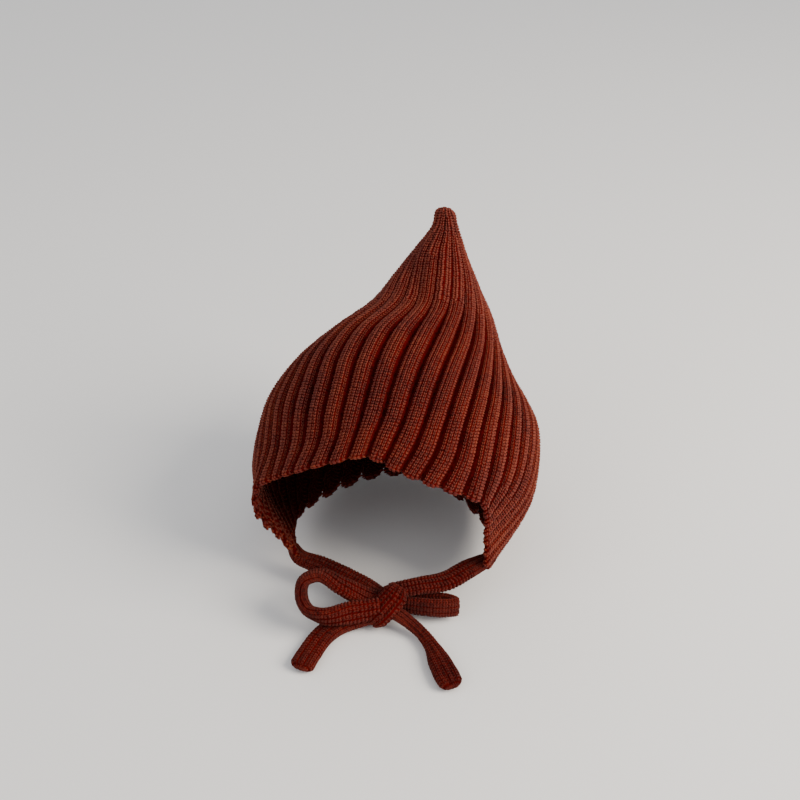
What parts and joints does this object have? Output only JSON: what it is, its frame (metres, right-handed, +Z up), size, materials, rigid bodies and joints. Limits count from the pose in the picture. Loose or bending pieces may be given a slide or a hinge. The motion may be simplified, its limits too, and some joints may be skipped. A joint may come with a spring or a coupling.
{
  "type": "knitted elf hat",
  "caption": "Baby's rib-knit elf hat with a pointed crown that leans back and two knitted ties in a bow under the chin.",
  "frame": {"origin": "the place on the inside of the crown that bears on the top of the head, which holds the hat up", "axes": "+Z up as the hat is worn, the face opening towards -Y, +X to the right of someone who looks at the face opening"},
  "size_m": [0.1483, 0.193, 0.1564],
  "materials": {
    "rib_knit_wool": "rust brown rib-knit wool",
    "tie_knit_wool": "rust brown plain-knit wool"
  },
  "bodies": {
    "root": {"hat_body": "rib_knit_wool", "tie_strap_left": "tie_knit_wool", "tie_strap_right": "tie_knit_wool", "bow_knot": "tie_knit_wool", "bow_loop_left": "tie_knit_wool", "bow_loop_right": "tie_knit_wool", "tie_tail_left": "tie_knit_wool", "tie_tail_right": "tie_knit_wool"}
  },
  "joints": []
}
